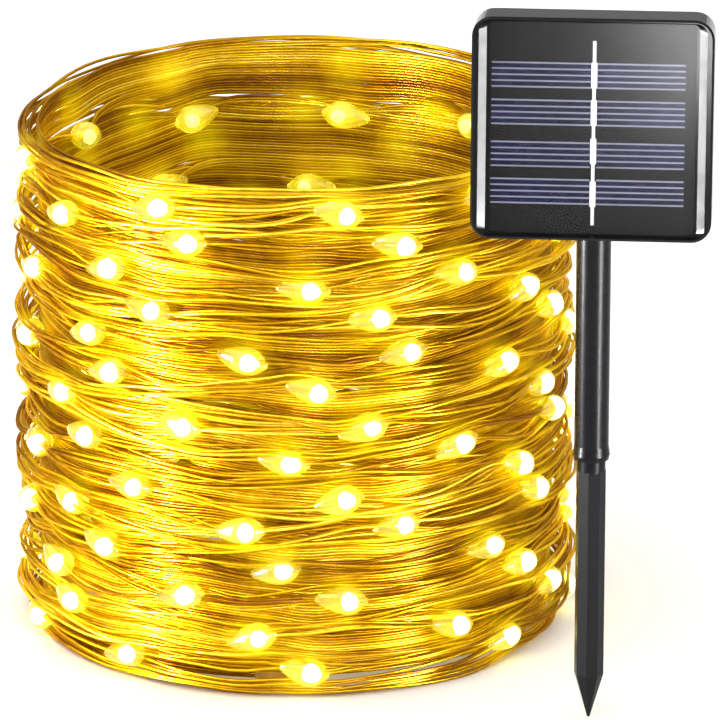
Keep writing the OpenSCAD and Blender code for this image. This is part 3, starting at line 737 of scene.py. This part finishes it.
def cell_blue():
    """Polycrystalline cell: dark navy, with faint grains."""
    look = Look("cell_blue", Specular_IOR_Level=0.06)
    stretched = look.node("ShaderNodeMapping", {"Vector": look.place(), "Scale": (260, 260, 700)})
    grains = look.node("ShaderNodeTexVoronoi", {"Vector": stretched.outputs["Vector"], "Scale": 1.0})
    cloud = look.noise(60, 2)
    shade = look.maths("ADD", look.maths("MULTIPLY", grains.outputs["Distance"], 0.35), cloud)
    look.feed("Base Color", look.ramp(shade, [(0.35, (0.003, 0.003, 0.022)), (0.75, (0.008, 0.008, 0.055)),
                                              (1.0, (0.02, 0.02, 0.1))]))
    look.feed("Roughness", look.span(grains.outputs["Distance"], 0.2, 0.34))
    return look


def tinned(name, colour):
    """Printed or tinned lines on the cells."""
    look = Look(name, Metallic=0.1)
    cloud = look.noise(500, 3)
    look.feed("Base Color", look.ramp(cloud, [(0.3, tuple(c * 0.85 for c in colour)), (0.7, colour)]))
    look.feed("Roughness", look.span(cloud, 0.3, 0.5))
    return look


def board(name, colour):
    """A flat, faintly mottled surface without much shine, as of lacquer or printed film."""
    look = Look(name, Specular_IOR_Level=0.06)
    cloud = look.noise(140, 4)
    look.feed("Base Color", look.ramp(cloud, [(0.3, tuple(c * 0.7 for c in colour)), (0.7, colour)]))
    look.feed("Roughness", look.span(cloud, 0.3, 0.45))
    return look


def clear_cover():
    """Clear epoxy: nearly all light goes through, and its polished face mirrors the room."""
    look = Look("clear_epoxy", Base_Color=(0.006, 0.006, 0.007, 1), Alpha=0.1, Specular_IOR_Level=0.5)
    ripple = look.noise(40, 2)
    look.feed("Roughness", look.span(ripple, 0.17, 0.21))
    look.bump(ripple, 0.02 * MM)
    look.material.surface_render_method = "BLENDED"
    return look


def dress_cad_nodes():
    case = plastic("charcoal_case", (0.006, 0.006, 0.007), 0.13, depth=0.002 * MM, shine=0.28)
    pole = plastic("charcoal_pole", (0.005, 0.005, 0.007), 0.26, shine=0.3)
    spike = plastic("black_spike", (0.005, 0.005, 0.007), 0.3, shine=0.25)
    inner = plastic("black_inner", (0.02, 0.02, 0.02), 0.5)
    steel = metal("zinc_steel", (0.66, 0.66, 0.68), 0.3)
    black = rubber("black_rubber", (0.02, 0.02, 0.021))
    looks = {
        case: ["front_frame", "rear_cover"],
        pole: ["pole_tube", "tilt_arm", "thumb_knob"],
        spike: ["ground_spike"],
        inner: ["battery_holder", "control_chip"],
        steel: ["case_screws", "tact_switches", "battery_cell", "battery_spring", "battery_plate",
                "hinge_bolt", "knob_nut"],
        black: ["case_gasket", "lead_gland", "friction_washers", "arm_o_ring", "splice_sleeve",
                "battery_wires"],
        rubber("red_rubber", (0.42, 0.02, 0.02), 0.45): ["power_button", "panel_wires"],
        rubber("grey_rubber", (0.16, 0.165, 0.17), 0.45): ["mode_button"],
        cell_blue(): [f"cell_strip_{i}" for i in (1, 2, 3, 4)],
        tinned("printed_fingers", (0.24, 0.24, 0.33)): ["finger_lines"],
        tinned("tinned_ribbon", (0.93, 0.93, 0.95)): ["busbar"],
        board("panel_board", (0.006, 0.005, 0.005)): ["cell_board"],
        board("circuit_board", (0.03, 0.2, 0.08)): ["circuit_board"],
        metal("copper_coil", (0.6, 0.26, 0.1), 0.35): ["boost_coil"],
        board("indicator", (0.6, 0.05, 0.03)): ["indicator_led"],
        board("battery_wrap", (0.06, 0.32, 0.12)): ["battery_sleeve"],
        clear_cover(): ["epoxy_cover"],
        rubber("gold_cap", (0.8, 0.5, 0.05), 0.4): ["end_cap"],
    }
    for look, names in looks.items():
        look.on(*[nodes[n] for n in names])


# Width of the rounded edges, in millimetres
BEVELLED = {"front_frame": 0.35, "rear_cover": 0.5, "tilt_arm": 0.35, "pole_tube": 0.3,
            "ground_spike": 0.25, "thumb_knob": 0.4, "power_button": 0.4, "mode_button": 0.4,
            "splice_sleeve": 0.8, "lead_gland": 0.3, "hinge_bolt": 0.2, "case_screws": 0.15, "end_cap": 0.8}
BEVEL_FROM = 32


def round_edges():
    """Small moulded radii on the CAD nodes that show."""
    for name, radius in BEVELLED.items():
        bevel = nodes[name].modifiers.new("edges", "BEVEL")
        bevel.width = radius * MM
        bevel.segments = 3
        bevel.limit_method = "ANGLE"
        bevel.angle_limit = math.radians(BEVEL_FROM)
        bevel.harden_normals = False
        nodes[name].data.polygons.foreach_set("use_smooth", [True] * len(nodes[name].data.polygons))
        weighted = nodes[name].modifiers.new("shading", "WEIGHTED_NORMAL")
        weighted.keep_sharp = True


# ---------- studio ----------

# Strength of the soft light all round: dimmer at the horizon, and full from a direction this far up
HORIZON, OVERHEAD, OVERHEAD_FROM = 0.22, 1.5, 0.6


def add_floor():
    size = 12.0
    points = [(-size, -size, 0), (size, -size, 0), (size, size, 0), (-size, size, 0)]
    floor = add_mesh("floor", points, [(0, 1, 2, 3)], smooth=False)
    look = Look("pale_floor", Roughness=0.75)
    look.feed("Base Color", look.ramp(look.noise(3, 2), [(0.3, (0.86, 0.86, 0.86)), (0.7, (0.9, 0.9, 0.9))]))
    look.on(floor)


def add_light(name, azimuth, elevation, distance, width, height, power, aim, highlight_only=True):
    """A soft box that faces the point aimed at. Most show only as a highlight in glossy surfaces."""
    data = bpy.data.lights.new(name, "AREA")
    data.shape = "RECTANGLE"
    data.size, data.size_y, data.energy = width, height, power
    a, e = math.radians(azimuth), math.radians(elevation)
    back = Vector((math.sin(a) * math.cos(e), -math.cos(a) * math.cos(e), math.sin(e)))
    light = bpy.data.objects.new(name, data)
    light.location = Vector(aim) + back * distance
    light.rotation_mode = "QUATERNION"
    light.rotation_quaternion = (-back).to_track_quat("-Z", "Y")
    light.visible_camera = False
    light.visible_diffuse = not highlight_only
    bpy.context.scene.collection.objects.link(light)


def add_studio():
    world = bpy.data.worlds.new("studio")
    world.use_nodes = True
    tree = world.node_tree
    sky = tree.nodes.new("ShaderNodeTexCoord")
    axes = tree.nodes.new("ShaderNodeSeparateXYZ")
    height = tree.nodes.new("ShaderNodeMapRange")
    height.inputs["From Max"].default_value = OVERHEAD_FROM
    height.inputs["To Min"].default_value = HORIZON
    height.inputs["To Max"].default_value = OVERHEAD
    tree.links.new(sky.outputs["Generated"], axes.inputs["Vector"])
    tree.links.new(axes.outputs["Z"], height.inputs["Value"])
    tree.links.new(height.outputs["Result"], tree.nodes["Background"].inputs["Strength"])
    tree.nodes["Background"].inputs["Color"].default_value = (1, 1, 1, 1)
    bpy.context.scene.world = world
    head = (0, -0.02, 0.19)
    pole = (0, 0, 0.07)
    middle = (-0.07, 0.04, 0.1)
    add_light("key", -35, 55, 1.6, 1.2, 1.2, 7, middle, highlight_only=False)
    add_light("right_strip", 61.5, -6, 0.5, 0.05, 0.26, 4.5, head)
    add_light("left_strip", -70, -6, 0.5, 0.07, 0.26, 17, head)
    add_light("pole_strip", 50, 0, 0.22, 0.04, 0.13, 1.3, pole)
    add_light("panel_sheen", -3, -7, 0.4, 0.08, 0.08, 1.4, (0.07, -0.025, 0.26))
    bpy.context.scene.view_settings.view_transform = "Standard"


add_camera()
lead = add_lead()
strands = add_string()
drops_outer = add_drops("resin_drops_outer", outer_beads(), seed=11)
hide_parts("drops_outer")
drops_inner = add_drops("resin_drops_inner", inner_beads(), seed=12)
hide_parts("drops_inner")
cores_outer = add_cores("lit_cores_outer", outer_beads(), *OUTER_CORE, seed=13)
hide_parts("chips_outer")
cores_inner = add_cores("lit_cores_inner", inner_beads(), *INNER_CORE, seed=14)
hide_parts("chips_inner")
lit_chip("lit_phosphor", (1.0, 0.97, 0.82), 4.2).on(cores_outer)
lit_chip("soft_phosphor", (1.0, 0.93, 0.45), 2.2).on(cores_inner)
gold_wire().on(*strands)
resin().on(drops_outer, drops_inner)
rubber("lead_jacket", (0.02, 0.02, 0.02), 0.5).on(lead)
dress_cad_nodes()
round_edges()
add_floor()
add_studio()
